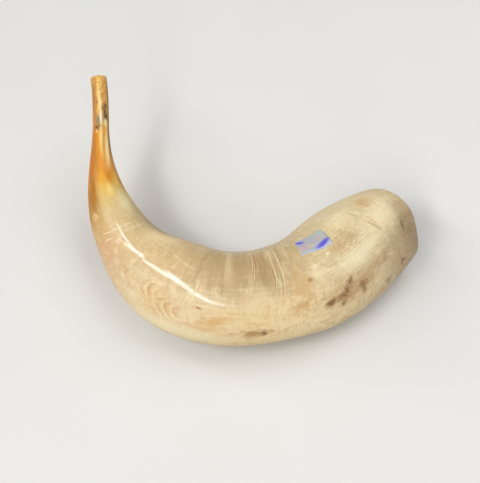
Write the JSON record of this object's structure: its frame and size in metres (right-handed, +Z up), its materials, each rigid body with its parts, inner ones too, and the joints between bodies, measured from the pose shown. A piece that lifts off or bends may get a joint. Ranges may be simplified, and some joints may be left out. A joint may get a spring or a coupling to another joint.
{
  "type": "shofar",
  "caption": "Curved ram's horn wind instrument with a drilled mouthpiece at its raised tip, a widening hollow body and an open bell, lying on its side.",
  "frame": {"origin": "on the surface that the horn lies on, under the middle of its box", "axes": "+X from the bend towards the bell, +Y from the belly towards the mouthpiece, +Z up"},
  "size_m": [0.2324, 0.1914, 0.0745],
  "materials": {
    "amber_tip": "rasped yellow horn under lacquer",
    "amber_horn": "polished amber horn",
    "cream_horn": "polished cream horn with growth lines",
    "foil": "blank holographic foil"
  },
  "bodies": {
    "root": {"mouthpiece": "amber_tip", "amber_neck": "amber_horn", "bend_cone": "cream_horn", "belly_cone": "cream_horn", "flare_cone": "cream_horn", "bell_cone": "cream_horn", "foil_label": "foil"}
  },
  "joints": []
}
